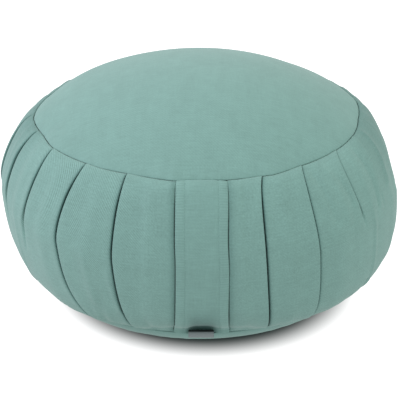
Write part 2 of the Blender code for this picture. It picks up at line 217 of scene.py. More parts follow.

# The shoulder outside the top seam turns away from the lights at both sides of the cushion, and is
# darkened there by painted shade: how much, the azimuths between which that comes in, and the
# height share at which it has gone.
PAINTED_SHOULDER_SHADE = 0.30
SHOULDER_FROM = 56
SHOULDER_FULL = 78
SHOULDER_FADES = 0.5

# The top seam is no true circle: it was sewn a little off centre and pulls out at some pleats.
SEAM_CENTRE = -2.8 * MM
SEAM_CENTRE_FADES = 0.4  # the height share by which the side is centred again
CROWN_LEAN = 2.5 * MM  # how much higher the filling stands on the +X side of the crown
SEAM_COLUMNS = ("azimuth", "out_mm")
SEAM_PULLS = [
    (-180, 0.4),
    (-156, -1.2),
    (-123, -3.5),
    (-107, -5.2),
    (-90, -1.0),
    (-82, 0.5),
    (-74, -1.0),
    (-66, -2.0),
    (-56, 0.9),
    (-39, -0.3),
    (-33, 0.1),
    (-23.5, -1.4),
    (-15.6, -0.4),
    (-7, 1.6),
    (-1, -0.8),
    (8, -0.1),
    (9.5, 0.3),
    (20, 0.2),
    (25, 1.8),
    (36, -1.6),
    (52, -1.2),
    (70, -0.1),
    (84, -0.4),
    (100, 4.3),
    (116, 3.6),
    (132, 4.4),
    (147, 0.5),
    (164, -0.5),
]
SEAM_PULL_FADES = 0.22  # the height share below the seam, or the share of the radius inside it

# Where the filling swells the side or leaves it slack: azimuth and height share of the centre, the
# reach either way of each, and the height in millimetres.
SWELLS = [
    (-120, 0.10, 16, 0.09, -3.8),
    (-98, 0.16, 14, 0.12, -3.4),
    (-90, 0.40, 18, 0.14, 1.2),
    (-76, 0.60, 16, 0.13, 0.8),
    (-58, 0.74, 15, 0.11, 1.4),
    (-40, 0.84, 14, 0.11, 3.9),
    (44, 0.84, 14, 0.11, 1.5),
    (62, 0.74, 16, 0.12, 0.6),
    (82, 0.58, 18, 0.14, 2.4),
    (88, 0.36, 18, 0.12, -2.0),
    (118, 0.10, 16, 0.09, -0.8),
]

# Soft creases: azimuth and height share where each starts, the same where it ends, and its half
# width and height in millimetres.
CREASES = [
    (22.2, 0.01, 20.8, 0.14, 2.0, -0.9),
    (39.2, 0.01, 39.2, 0.13, 2.2, -1.0),
    (37.8, 0.05, 40.8, 0.34, 2.6, -1.8),
    (43.5, 0.08, 45.5, 0.36, 3.2, 1.3),
    (47.0, 0.16, 48.5, 0.30, 2.4, -1.5),
    (-12.0, 0.00, -12.5, 0.08, 2.0, -0.7),
    (-7.5, 0.00, -9.5, 0.06, 1.6, -0.7),
    (-31.8, 0.50, -30.2, 0.64, 2.4, 0.7),
    (-31.0, 0.68, -30.0, 0.86, 2.0, 0.8),
    (-28.0, 0.60, -28.5, 0.80, 2.6, -0.7),
    (-24.6, 0.53, -22.6, 0.66, 1.8, 0.9),
    (-16.0, 0.12, -15.0, 0.58, 2.2, -0.5),
    (-13.2, 0.12, -12.5, 0.58, 2.2, 0.5),
    (-15.5, 0.72, -14.0, 0.97, 2.0, -0.7),
    (-11.0, 0.80, -11.5, 0.98, 1.8, 0.6),
    (-25.5, 0.84, -23.0, 0.97, 1.6, -0.8),
    (-33.0, 0.86, -31.0, 0.97, 1.6, -0.7),
    (-45.0, 0.78, -40.0, 0.95, 2.2, -0.8),
    (60.5, 0.08, 61.0, 0.38, 2.4, -1.2),
    (74.5, 0.05, 71.5, 0.34, 2.4, 1.7),
    (57.0, 0.70, 55.0, 0.82, 2.4, -1.2),
    (49.5, 0.74, 47.0, 0.86, 2.0, -1.0),
    (36.5, 0.80, 43.0, 0.79, 2.0, -1.2),
    (9.6, 0.64, 10.4, 0.70, 2.2, -0.9),
    (24.0, 0.86, 23.5, 0.98, 1.8, -0.6),
]

# The camera stands in front of the strap and looks a little down on the cushion.
CAMERA_TARGET = Vector((0, 0, 63 * MM))
CAMERA_DISTANCE = 1170 * MM
CAMERA_ELEVATION = math.radians(26.45)
CAMERA_ROLL = 0.0084
CAMERA_LENS = 113.07
SENSOR = 36
CAMERA_FAR = 50
IMAGE_SIZE = 400  # pixels, both ways, and the pixel that the unshifted camera looks at
IMAGE_AXIS = (198.77, 203.13)
CAMERA_SHIFT = (
    (IMAGE_SIZE / 2 - IMAGE_AXIS[0]) / IMAGE_SIZE,
    (IMAGE_AXIS[1] - IMAGE_SIZE / 2) / IMAGE_SIZE,
)


# --------------------------------------------------------------------------------------------------
# Small tools


def table(columns, rows):
    """A table's columns as arrays, by name. A name that ends in _mm drops that, and its column is
    given in metres."""
    arrays = zip(columns, np.array(rows, float).T)
    return {
        name.removesuffix("_mm"): values * MM if name.endswith("_mm") else values
        for name, values in arrays
    }


def smooth_step(low, high, x):
    """0 up to low, 1 from high on, and 3t^2 - 2t^3 between them."""
    t = np.clip((x - low) / (high - low), 0, 1)
    return t * t * (3 - 2 * t)


def blend(start, end, share):
    """start + (end - start) * share."""
    return start + (end - start) * share


def degrees_from(azimuth, azimuths):
    """The shorter way round from one azimuth to others, from -180 to 180."""
    return (azimuths - azimuth + 180) % 360 - 180


def run_length(points):
    """How far each point of a path lies along it."""
    return np.concatenate([[0], np.cumsum(np.linalg.norm(np.diff(points, axis=0), axis=1))])


def between_rows(x, places, rows):
    """The rows at x, straight from each place to the next."""
    return np.stack([np.interp(x, places, column) for column in rows.T], 1)


def bezier(start, start_handle, end_handle, end, t):
    """Points of a cubic Bezier arc at the parameters t, one row each."""
    t = np.asarray(t, float)[:, None]
    return (
        (1 - t) ** 3 * np.array(start)
        + 3 * t * (1 - t) ** 2 * np.array(start_handle)
        + 3 * t**2 * (1 - t) * np.array(end_handle)
        + t**3 * np.array(end)
    )


def spline_ring(controls):
    """A closed uniform cubic B-spline round the last axis: SAMPLES_A_SPAN points to each control
    point i, which weigh its neighbours i - 1 to i + 2 by (1 - t)^3 / 6, (3t^3 - 6t^2 + 4) / 6,
    (-3t^3 + 3t^2 + 3t + 1) / 6 and t^3 / 6."""
    t = np.arange(SAMPLES_A_SPAN) / SAMPLES_A_SPAN
    weights = (
        (1 - t) ** 3 / 6,
        (3 * t**3 - 6 * t**2 + 4) / 6,
        (-3 * t**3 + 3 * t**2 + 3 * t + 1) / 6,
        t**3 / 6,
    )
    neighbours = (1, 0, -1, -2)
    total = sum(
        np.roll(controls, shift, axis=-1)[..., None] * weight
        for shift, weight in zip(neighbours, weights)
    )
    return total.reshape(*controls.shape[:-1], -1)


# --------------------------------------------------------------------------------------------------
# The cushion's surface


def side_profile(v):
    """Radius and height of the side at height shares v: one arc from seam to bulge, one to the
    base."""
    top_seam = (TOP_SEAM_RADIUS, TOP_SEAM_HEIGHT)
    bulge = (BULGE_RADIUS, BULGE_HEIGHT)
    base_seam = (BASE_SEAM_RADIUS, BASE_SEAM_HEIGHT)
    top_handle = (
        TOP_SEAM_RADIUS + TOP_SEAM_STRAIGHT * math.cos(TOP_SEAM_SLOPE),
        TOP_SEAM_HEIGHT - TOP_SEAM_STRAIGHT * math.sin(TOP_SEAM_SLOPE),
    )
    base_handle = (
        BASE_SEAM_RADIUS + BASE_SEAM_STRAIGHT * math.cos(BASE_SEAM_SLOPE),
        BASE_SEAM_HEIGHT + BASE_SEAM_STRAIGHT * math.sin(BASE_SEAM_SLOPE),
    )
    above = (BULGE_RADIUS, BULGE_HEIGHT + ABOVE_BULGE_STRAIGHT)
    below = (BULGE_RADIUS, BULGE_HEIGHT - BELOW_BULGE_STRAIGHT)
    upper = bezier(top_seam, top_handle, above, bulge, np.clip(2 * v, 0, 1))
    lower = bezier(bulge, below, base_handle, base_seam, np.clip(2 * v - 1, 0, 1))
    return np.where((v < 0.5)[:, None], upper, lower)


def side_normals(v, step=0.004):
    """Outward normals of the side, from points a little either side of each height share."""
    across = side_profile(np.clip(v + step, 0, 1)) - side_profile(np.clip(v - step, 0, 1))
    normal = np.stack([-across[:, 1], across[:, 0]], 1)
    return normal / np.linalg.norm(normal, axis=1, keepdims=True)


def side_arc(v):
    """Length down the side from the top seam to each height share."""
    fine = np.linspace(0, 1, ARC_POINTS)
    return np.interp(v, fine, run_length(side_profile(fine)))


def seam_pull(azimuths):
    """How far the top seam pulls out at any azimuth: straight from one row of the table to the
    next, and closed round the back."""
    pulls = table(SEAM_COLUMNS, SEAM_PULLS)
    return np.interp(degrees_from(0, azimuths), pulls["azimuth"], pulls["out"], period=360)


def swell(azimuths, v):
    """The sum of the swells at each place: out * exp(-(d / reach)^2) both round and down."""
    total = 0
    for azimuth, share, azimuth_reach, share_reach, out in SWELLS:
        round_away = degrees_from(azimuth, azimuths) / azimuth_reach
        far = round_away**2 + ((v - share) / share_reach) ** 2
        total = total + out * MM * np.exp(-far)
    return total


def creases(azimuths, v, radius, arc):
    """The sum of the creases: height * exp(-(d / half width)^2), where d is the distance over the
    cloth to the crease's own line from end to end."""
    total = 0
    for azimuth, share, to_azimuth, to_share, half_width, height in CREASES:
        ends = side_arc(np.array([share, to_share]))
        along = np.array([math.radians(to_azimuth - azimuth) * BULGE_RADIUS, ends[1] - ends[0]])
        x = np.radians(degrees_from(azimuth, azimuths)) * radius
        y = arc - ends[0]
        part = np.clip((x * along[0] + y * along[1]) / (along @ along), 0, 1)
        away = np.hypot(x - part * along[0], y - part * along[1])
        total = total + height * MM * np.exp(-((away / (half_width * MM)) ** 2))
    return total


def strap_draw(v, azimuths):
    """How far the strap draws the side in: a hump of down^2 (1 - down), whose peak of 4/27 is two
    thirds of the way from DRAW_FROM_SHARE to the base seam, and which fades to both sides."""
    down = np.clip((v - DRAW_FROM_SHARE) / (1 - DRAW_FROM_SHARE), 0, 1)
    beside = 1 - smooth_step(DRAW_FULL_WITHIN, DRAW_NONE_BEYOND, np.abs(azimuths - STRAP_AZIMUTH))
    return STRAP_DRAW * down**2 * (1 - down) / (4 / 27) * beside


def strap_width(v):
    """The strap widens towards its foot, partly evenly and partly below the bulge."""
    below = smooth_step(*STRAP_WIDENS_BELOW, v)
    widening = STRAP_WIDENS_EVENLY * v + (1 - STRAP_WIDENS_EVENLY) * below
    return blend(STRAP_WIDTH_TOP, STRAP_WIDTH_BASE, widening)


def strap_drift(v):
    """How far the strap has wandered to +X of its azimuth, at height share v."""
    return STRAP_DRIFT * sum(part * smooth_step(start, end, v) for start, end, part in STRAP_DRIFTS)


def pleat_azimuths(pleats, v):
    """Each pleat's azimuth at height share v, on the curve of fourth degree through its table
    values: the sum of a_i * product over j of (v - s_j) / (s_i - s_j), for its shares s."""
    total = 0
    for i, share in enumerate(PLEAT_SHARES):
        others = [other for other in PLEAT_SHARES if other != share]
        weight = np.prod([(v - other) / (share - other) for other in others], axis=0)
        total = total + weight[:, None] * pleats[PLEAT_COLUMNS[i]]
    return total


def slot(v):
    """How deep the pleats run at height share v: shut at both seams, and at once deep beyond
    them."""
    return smooth_step(0, SLOT_WITHIN, v) * smooth_step(0, SLOT_WITHIN, 1 - v)


def opening(v):
    """How far the pleats stand open at height share v: a thin slot by either seam, and wide
    between."""
    wide = smooth_step(0, OPEN_WITHIN_TOP, v) * smooth_step(0, OPEN_WITHIN_BASE, 1 - v)
    return SLOT_SHARE * slot(v) + (1 - SLOT_SHARE) * wide


def strap_opening(v):
    """How far the body falls away beside the strap: it does so nearly from seam to seam."""
    return smooth_step(*BESIDE_OPENS, v) * smooth_step(0, BESIDE_SHUTS, 1 - v)


def fold_controls(v, radius):
    """Control azimuths, heights and painted shades of every pleat's fold, as (rows, pleats,
    points), in the order in which they follow round the cushion."""
    pleats, fold = table(PLEAT_COLUMNS, PLEATS), table(FOLD_COLUMNS, FOLD_SECTION)
    lines = pleat_azimuths(pleats, v)
    open_here = opening(v)[:, None]
    flattened = smooth_step(pleats["opens_at"], pleats["flat_by"], v[:, None])
    folded = 1 - flattened
    lift = blend(SEAM_LIFT, pleats["lift"], open_here) * folded
    depth = blend(SEAM_DEPTH, pleats["depth"], slot(v)[:, None]) * folded
    mouth = blend(SEAM_MOUTH, pleats["mouth"], open_here)
    distance = (
        (fold["folded_at"] + fold["with_mouth"] * mouth[..., None]) * folded[..., None]
        + fold["flat_at"] * flattened[..., None]
    )
    hump = pleats["hump"] * open_here * folded
    heights = (
        fold["of_lift"] * lift[..., None]
        + fold["of_depth"] * depth[..., None]
        + fold["of_hump"] * hump[..., None]
    )
    away = np.sign(pleats["seam"])[None, :, None]
    azimuths = lines[..., None] + away * np.degrees(distance / radius[:, None, None])
    deep = np.minimum(1, pleats["depth"] / FULL_PAINTED_SHADE_DEPTH)[:, None]
    painted_shades = fold["painted_shade"] * (folded[..., None] ** 3) * deep
    return [np.where(away < 0, part[..., ::-1], part) for part in (azimuths, heights, painted_shades)]


def panel_controls(before, after, height_before, height_after, puff, count):
    """Control points across a panel: evenly spaced, on a straight line plus puff * sin^2(pi q)."""
    q = np.arange(1, count + 1) / (count + 1)
    azimuths = blend(before[:, None], after[:, None], q)
    heights = blend(height_before[:, None], height_after[:, None], q)
    return azimuths, heights + puff[:, None] * np.sin(np.pi * q) ** 2, np.zeros(azimuths.shape)


def strap_controls(v, radius):
    """Control points of the body beside and under the strap, from its left to its right."""
    beside = table(BESIDE_COLUMNS, BESIDE_SECTION)
    open_here = strap_opening(v)
    under_strap = strap_drift(v) - lean(v)
    sides = []
    for side, mouth in ((-1, BESIDE_MOUTH_LEFT), (1, BESIDE_MOUTH_RIGHT)):
        reach = (
            strap_width(v)[:, None] / 2
            + beside["from_edge"]
            + beside["with_mouth"] * (mouth * open_here)[:, None]
        )
        dip = blend(BESIDE_SEAM_DEPTH, BESIDE_DEPTH, open_here)
        heights = (
            beside["of_lift"] * BESIDE_LIFT * open_here[:, None]
            + beside["of_depth"] * dip[:, None]
            + np.where(beside["from_edge"] < 0, SEAT, 0)
        )
        sideways = under_strap[:, None] + side * reach
        azimuths = STRAP_AZIMUTH + np.degrees(sideways / radius[:, None])
        # Painted shade in the gaps beside the strap, lighter towards the top seam.
        painted_shades = beside["painted_shade"] * blend(
            BESIDE_PAINTED_SHADE_TOP, 1, smooth_step(*BESIDE_PAINTED_SHADE_GROWS, v[:, None])
        )
        sides.append((azimuths[:, ::side], heights[:, ::side], painted_shades[:, ::side]))
    centre = STRAP_AZIMUTH + np.degrees(under_strap / radius)
    middle = (centre[:, None], np.full((len(v), 1), SEAT), np.zeros((len(v), 1)))
    return [np.concatenate(part, 1) for part in zip(sides[0], middle, sides[1])]


def side_ring(v, radius):
    """Azimuths, heights and painted shades of the side's control points round each row, and the
    panel that each point lies in."""
    rings, panels = [], []
    folds = fold_controls(v, radius)
    puff = PANEL_PUFF * np.sin(np.pi * v) ** 0.5
    count, points = folds[0].shape[1:]
    for index in range(count):
        rings.append([part[:, index] for part in folds])
        panels += [index] * (points // 2) + [index + 1] * (points - points // 2)
        following = (index + 1) % count
        turn = 360 if following == 0 else 0
        ends = [folds[0][:, index, -1], folds[0][:, following, 0] + turn]
        end_heights = [folds[1][:, index, -1], folds[1][:, following, 0]]
        if ends[0][0] < STRAP_AZIMUTH < ends[1][0]:
            strap = strap_controls(v, radius)
            to_left = (ends[0], strap[0][:, 0], end_heights[0], strap[1][:, 0])
            to_right = (strap[0][:, -1], ends[1], strap[1][:, -1], end_heights[1])
            pieces = [
                panel_controls(*to_left, puff, PANEL_POINTS_LEFT),
                strap,
                panel_controls(*to_right, puff, PANEL_POINTS_RIGHT),
            ]
        else:
            pieces = [panel_controls(*ends, *end_heights, puff, PANEL_POINTS)]
        rings += pieces
        panels += [index + 1] * sum(piece[0].shape[1] for piece in pieces)
    azimuths, heights, painted_shades = [np.concatenate(part, 1) for part in zip(*rings)]
    return azimuths, heights, painted_shades, np.array(panels)


def around(azimuths, radii, heights, shift=0.0):
    """Points in space from azimuths in degrees, radii, heights and a shift to +X."""
    angle, radii, heights, shift = np.broadcast_arrays(np.radians(azimuths), radii, heights, shift)
    return np.stack([radii * np.sin(angle) + shift, -radii * np.cos(angle), heights], -1)


def lean(v):
    """How far the side is pushed towards +X: from the seam's own centre to the settled lower
    half."""
    top = SEAM_CENTRE * (1 - smooth_step(0, SEAM_CENTRE_FADES, v))
    return top + LOWER_SIDE_SHIFT * np.sin(np.pi * np.maximum(0, 2 * v - 1))


def painted_shoulder_shade(azimuths, v):
    """The painted shade of each shoulder, which deepens towards the back and fades down the side.
    """
    return (
        PAINTED_SHOULDER_SHADE
        * smooth_step(SHOULDER_FROM, SHOULDER_FULL, np.abs(degrees_from(0, azimuths)))
        * (1 - smooth_step(0, SHOULDER_FADES, v))
    )


def side_rows(count):
    """Height shares, closer together near both seams."""
    even = np.linspace(0, 1, count)
    return (1 - ROWS_GATHER) * even + ROWS_GATHER * (1 - np.cos(np.pi * even)) / 2


def rim_drop(distance):
    """How far a rounded edge of radius SEAM_ROUND lies below the cloth, at a distance from its
    end."""
    inside = np.clip(1 - distance / SEAM_ROUND, 0, 1)
    return SEAM_ROUND * (1 - np.sqrt(np.maximum(1 - inside**2, 0)))


# --------------------------------------------------------------------------------------------------
# Meshes


def grid_faces(rows, columns, closed):
    """Quads of a grid of points, joined from its last column to its first if it is closed."""
    i, j = np.ogrid[: rows - 1, : columns if closed else columns - 1]
    here, below, right = i * columns, (i + 1) * columns, (j + 1) % columns
    return np.stack([here + j, below + j, below + right, here + right], -1)


def linked(name, data):
    """A new object in the scene."""
    obj = bpy.data.objects.new(name, data)
    bpy.context.scene.collection.objects.link(obj)
    return obj


def mesh_object(name, points, faces, poles=(), loose=()):
    """A smooth-shaded object from points, quads, fans round poles and further polygons."""
    polygons = faces.reshape(-1, 4).tolist() + list(loose)
    for pole, ring in poles:
        following = np.roll(ring, -1)
        polygons += np.stack([np.full(len(ring), pole), ring, following], 1).tolist()
    mesh = bpy.data.meshes.new(name)
    mesh.from_pydata(points.reshape(-1, 3), [], polygons)
    mesh.validate()
    mesh.shade_smooth()
    return linked(name, mesh)


def capped_rings(name, rings, first_pole, last_pole, way=1):
    """Rings joined one to the next, with a fan at each end to its own pole. A way of -1 turns the
    faces round."""
    rows, columns = rings.shape[:2]
    points = np.concatenate([rings.reshape(-1, 3), [first_pole, last_pole]])
    faces = grid_faces(rows, columns, closed=True)[..., ::way]
    first, pole = np.arange(columns), rows * columns
    last = first + pole - columns
    return mesh_object(name, points, faces, [(pole, first[::way]), (pole + 1, last[::-way])])


def set_cloth_map(obj, corners):
    """Writes the cloth map, in metres over the cloth, from (u, v) at each corner of the first
    faces."""
    layer = obj.data.uv_layers.new(name="cloth")
    values = np.zeros((len(obj.data.loops), 2), np.float32)
    flat = corners.reshape(-1, 2)
    values[: len(flat)] = flat
    layer.data.foreach_set("uv", values.ravel())


def set_painted_shade(obj, painted_shades):
    """Writes each point's painted shade, from 0 to 1: how far its colour is darkened deep in a fold
    or seam, where light hardly comes."""
    layer = obj.data.attributes.new("painted_fold_shade", "FLOAT", "POINT")
    layer.data.foreach_set("value", np.asarray(painted_shades, np.float32))


# --------------------------------------------------------------------------------------------------
# Pieces


def seam_rings(azimuths, seam_radius, seam_height, drops, shift):
    """Rings that run in under a panel, from its seam to the middle: (share of the radius,
    height)."""
    return [
        around(azimuths, seam_radius * share, seam_height + drop, shift) for share, drop in drops
    ]


def pleated_side():
    """The filled body in its pleated strip. Each row is a ring spline through the folds; each point
    is pushed out along the side's normal by the folds, puffs, swells and creases."""
    v = side_rows(SIDE_ROWS)
    profile, normals, arc = side_profile(v), side_normals(v), side_arc(v)
    radius = profile[:, 0]
    controls, control_heights, control_painted_shades, panels = side_ring(v, radius)
    azimuths = spline_ring_angles(controls)
    heights = spline_ring(control_heights)
    down = np.broadcast_to(v[:, None], azimuths.shape)
    free = np.sin(np.pi * np.clip(v, 0, 1))[:, None] ** 0.5
    heights = heights + swell(azimuths, down) * free
    heights += creases(azimuths, down, radius[:, None], arc[:, None]) * free
    heights -= strap_draw(down, azimuths)
    heights -= rim_drop(arc)[:, None] + rim_drop(arc[-1] - arc)[:, None]
    pull = seam_pull(azimuths) * (1 - smooth_step(0, SEAM_PULL_FADES, down))
    points = around(
        azimuths,
        radius[:, None] + heights * normals[:, :1] + pull,
        profile[:, 1:] + heights * normals[:, 1:],
        lean(down),
    )
    top_in = [
        (1 - SEAM_WALL_IN / TOP_SEAM_RADIUS, -SEAM_ROUND - SEAM_WALL),
        (1 - TUCK / TOP_SEAM_RADIUS, -SEAM_ROUND - SEAM_WALL),
        *((share, CROWN_RISE * dome(share) - INNER_DROP) for share in UNDER_CROWN_SHARES),
    ]
    base_in = [
        (1 - TUCK / BASE_SEAM_RADIUS, SEAM_ROUND),
        *((share, UNDER_BASE_HEIGHT - BASE_SEAM_HEIGHT) for share in UNDER_BASE_SHARES),
    ]
    pulled_radius = TOP_SEAM_RADIUS + seam_pull(azimuths[0])
    above = seam_rings(azimuths[0], pulled_radius, TOP_SEAM_HEIGHT, top_in, SEAM_CENTRE)
    below = seam_rings(azimuths[-1], BASE_SEAM_RADIUS, BASE_SEAM_HEIGHT, base_in, 0)
    rings = np.concatenate([np.array(above)[::-1], points, np.array(below)])
    middle_top = (SEAM_CENTRE, 0, TOP_SEAM_HEIGHT + CROWN_RISE - INNER_DROP)
    middle_base = (0, 0, UNDER_BASE_HEIGHT)
    obj = capped_rings("pleated_side", rings, middle_top, middle_base)
    fine_panels = np.repeat(panels, SAMPLES_A_SPAN)
    set_cloth_map(obj, side_cloth_map(points, fine_panels, arc, len(above), len(below)))
    # Painted shade: the rings that run in under the panels, and both poles, are painted wholly
    # dark; the seen side takes the painted shade of its folds and shoulders.
    painted_shades = np.ones(rings.shape[:2])
    seen = slice(len(above), len(above) + len(v))
    painted_shades[seen] = np.maximum(spline_ring(control_painted_shades), painted_shoulder_shade(azimuths, down))
    set_painted_shade(obj, np.append(painted_shades.ravel(), [1, 1]))
    return obj


def spline_ring_angles(controls):
    """The ring spline of azimuths, which grow by a whole turn from the last column round to the
    first."""
    count = controls.shape[1]
    steps = np.arange(count) * 360 / count
    fine = count * SAMPLES_A_SPAN
    return spline_ring(controls - steps) + np.arange(fine) * 360 / fine


def side_cloth_map(points, panels, arc, rings_above, rings_below):
    """Cloth coordinates of the side's quads. Across, each panel is measured over the cloth from its
    own middle, so that the weave runs straight down it and changes only inside the folds."""
    steps = np.linalg.norm(np.roll(points, -1, axis=1) - points, axis=2)
    run = np.concatenate([np.zeros((len(points), 1)), np.cumsum(steps, axis=1)], 1)
    across = np.zeros((len(points), points.shape[1], 2))
    for panel in np.unique(panels):
        mine = np.flatnonzero(panels == panel)
        middle = mine[len(mine) // 2]
        offset = panel * PANEL_CLOTH_SHIFT
        across[:, mine, 0] = run[:, mine] - run[:, [middle]] + offset
        across[:, mine, 1] = run[:, mine + 1] - run[:, [middle]] + offset
    down = np.repeat(arc[:, None], points.shape[1], 1)
    corners = np.stack(
        [
            np.stack([across[:-1, :, 0], down[:-1]], -1),
            np.stack([across[1:, :, 0], down[1:]], -1),
            np.stack([across[1:, :, 1], down[1:]], -1),
            np.stack([across[:-1, :, 1], down[:-1]], -1),
        ],
        2,
    )
    above = np.repeat(corners[:1], rings_above, 0)
    below = np.repeat(corners[-1:], rings_below, 0)
    return np.concatenate([above, corners, below])


CROWN_COLUMNS = 480
CROWN_ROWS = 64
CROWN_ROW_POWER = 1.6  # above 1, the rows lie closer together towards the rim
CROWN_INNER_SHARES = np.array([0.999, 0.97, 0.9, 0.75, 0.5, 0.25])
CROWN_CLOTH = 2 * MM
CROWN_EDGE_IN = 1.2 * MM
CROWN_SEED = 11
CROWN_PUCKER = 0.30 * MM
CROWN_PUCKER_REACH = 7 * MM


def dome(t):
    """The share of the crown's rise that is left at share t of its radius: (1 - t^2)^roundness."""
    return (1 - t**2) ** CROWN_ROUNDNESS


def crown_height(t, azimuths):
    """The crown's height over the seam at share t of its radius: the dome of its rise, and a lean
    of t * sin(azimuth) that fades in the same way."""
    return dome(t) * (CROWN_RISE + CROWN_LEAN * t * np.sin(np.radians(azimuths)))


def crown_rings(t, azimuths, seam, up, down):
    """Rings of the crown at shares t of its seam's radius, which follow the seam's own pulls near
    it."""
    pull = seam_pull(azimuths)[None] * smooth_step(1 - SEAM_PULL_FADES, 1, t)
    height = TOP_SEAM_HEIGHT + crown_height(t, azimuths) + up - down
    return around(azimuths, seam * t + pull, height, SEAM_CENTRE * t**2)


def top_panel():
    """The domed top panel, puckered along its seam and turned down at the rim, with its inner face
    a cloth's thickness below."""
    azimuths = np.arange(CROWN_COLUMNS) * 360 / CROWN_COLUMNS
    t = 1 - (1 - np.linspace(0, 1, CROWN_ROWS)[1:, None]) ** CROWN_ROW_POWER
    seam = TOP_SEAM_RADIUS - SEAM_GROOVE
    to_rim = seam * (1 - t)
    near_rim = np.exp(-((to_rim / CROWN_PUCKER_REACH) ** 2))
    puckers = seam_puckers(azimuths, CROWN_SEED, CROWN_PUCKER) * near_rim
    outer = crown_rings(t, azimuths, seam, puckers, rim_drop(to_rim))
    inner = crown_rings(CROWN_INNER_SHARES[:, None], azimuths, seam - CROWN_EDGE_IN, 0, CROWN_CLOTH)
    obj = closed_panel("crown_panel", outer, inner)
    # Painted shade: none on the crown's outer face, and its inner face painted dark.
    set_panel_painted_shade(obj, np.zeros(outer.shape[:2]), inner)
    return obj


PUCKERS_DRAWN = 90  # more than there is room for round a seam
PUCKERS_END = 357
PUCKER_GAPS = (2.2, 6.5)  # from one to the next, in degrees, as each one's half width is
PUCKER_HALF_WIDTHS = (0.7, 1.5)
PUCKER_HEIGHTS = (-0.6, 1.0)  # a share of the highest


def seam_puckers(azimuths, seed, height):
    """Small ridges where the seam gathers the cloth: the sum of height * exp(-(d / half width)^2)
    over uneven azimuths, where d is the distance from each in degrees."""
    random = np.random.default_rng(seed)
    centres = np.cumsum(random.uniform(*PUCKER_GAPS, PUCKERS_DRAWN))
    centres = centres[centres < PUCKERS_END]
    widths = random.uniform(*PUCKER_HALF_WIDTHS, len(centres))
    sizes = random.uniform(*PUCKER_HEIGHTS, len(centres)) * height
    away = degrees_from(centres[:, None], azimuths)
    return (sizes[:, None] * np.exp(-((away / widths[:, None]) ** 2))).sum(0)


def closed_panel(name, outer, inner, way=1):
    """A round panel closed over its outer rings, its rim and its inner rings, with both poles
    filled."""
    rings = np.concatenate([outer, inner])
    obj = capped_rings(name, rings, outer[0].mean(0), inner[-1].mean(0), way)
    places = np.zeros(len(obj.data.vertices) * 3, np.float32)
    obj.data.vertices.foreach_get("co", places)
    index = np.zeros(len(obj.data.loops), np.int32)
    obj.data.loops.foreach_get("vertex_index", index)
    set_cloth_map(obj, places.reshape(-1, 3)[index, :2])
    return obj


def set_panel_painted_shade(obj, outer_painted_shades, inner):
    """A panel's outer face has its own painted shade, and its inner face and inner pole are painted
    wholly dark."""
    set_painted_shade(obj, np.concatenate([outer_painted_shades.ravel(), np.ones(inner[..., 0].size), [0, 1]]))


FOOT_COLUMNS = 360
FOOT_TURN_ROWS = 24
FOOT_SHARES = np.linspace(0.96, 0.04, 12)  # rings on the flat foot, in shares of its radius
FOOT_SEED = 23
FOOT_PUCKER = 0.5 * MM
FOOT_INNER_ROWS = [0, 6, 12, 18, 23]
FOOT_INNER_OFFSET = (-2 * MM, 0.6 * MM)  # inwards and up from those rows
FOOT_INNER_OFFSET_SHARES = np.array([0.4, 1, 1, 1, 1])
FOOT_INNER_SHARES = np.array([0.6, 0.1])
FOOT_CLOTH = 1.6 * MM
FOOT_PAINTED_SHADE = 0.55  # painted shade on the base panel close to the floor
FOOT_PAINTED_SHADE_BELOW = 9 * MM


def base_panel():
    """The base panel: a Bezier arc from its seam, in line with the side, down to the flat foot."""
    azimuths = np.arange(FOOT_COLUMNS) * 360 / FOOT_COLUMNS
    seam = (BASE_SEAM_RADIUS - BASE_GROOVE, BASE_SEAM_HEIGHT - BASE_GROOVE)
    seam_handle = (
        seam[0] - BASE_TURN * math.cos(BASE_TURN_SLOPE),
        BASE_SEAM_HEIGHT - BASE_TURN * math.sin(BASE_TURN_SLOPE),
    )
    foot_handle = (FOOT_RADIUS + FOOT_TURN, 0)
    turns = np.linspace(0, 1, FOOT_TURN_ROWS)
    route = bezier(seam, seam_handle, foot_handle, (FOOT_RADIUS, 0), turns)
    pleated = seam_puckers(azimuths, FOOT_SEED, FOOT_PUCKER) * np.sin(np.pi * turns[:, None]) ** 2
    turned = around(azimuths, route[:, :1] + pleated, route[:, 1:])
    flat = around(azimuths, FOOT_RADIUS * FOOT_SHARES[:, None], 0)
    outer = np.concatenate([turned, flat])[::-1]
    inner = route[FOOT_INNER_ROWS] + FOOT_INNER_OFFSET * FOOT_INNER_OFFSET_SHARES[:, None]
    inner_turned = around(azimuths, inner[:, :1], np.maximum(inner[:, 1:], FOOT_CLOTH))
    inner_flat = around(azimuths, FOOT_RADIUS * FOOT_INNER_SHARES[:, None], FOOT_CLOTH)
    inner = np.concatenate([inner_turned, inner_flat])
    obj = closed_panel("foot_panel", outer, inner, way=-1)
    # Painted shade on the base panel, deepening towards the floor.
    set_panel_painted_shade(obj, FOOT_PAINTED_SHADE * smooth_step(FOOT_PAINTED_SHADE_BELOW, 0, outer[..., 2]), inner)
    return obj


def at_strap(section):
    """Places or directions in space from those in the upright section through the strap's middle,
    which are given as (outwards, up)."""
    return section[:, :1] * STRAP_OUTWARDS + section[:, 1:] * UP


def strap_bow(across):
    """How far the side's roundness takes the strap in, at a distance across it: -x^2 / 2r."""
    return -(across**2) / (2 * BULGE_RADIUS)


def end_caps(rows, columns, start=0):
    """The two polygons that close a tube's first and last section."""
    first = np.arange(start, start + columns)
    return [first.tolist(), (first + (rows - 1) * columns)[::-1].tolist()]


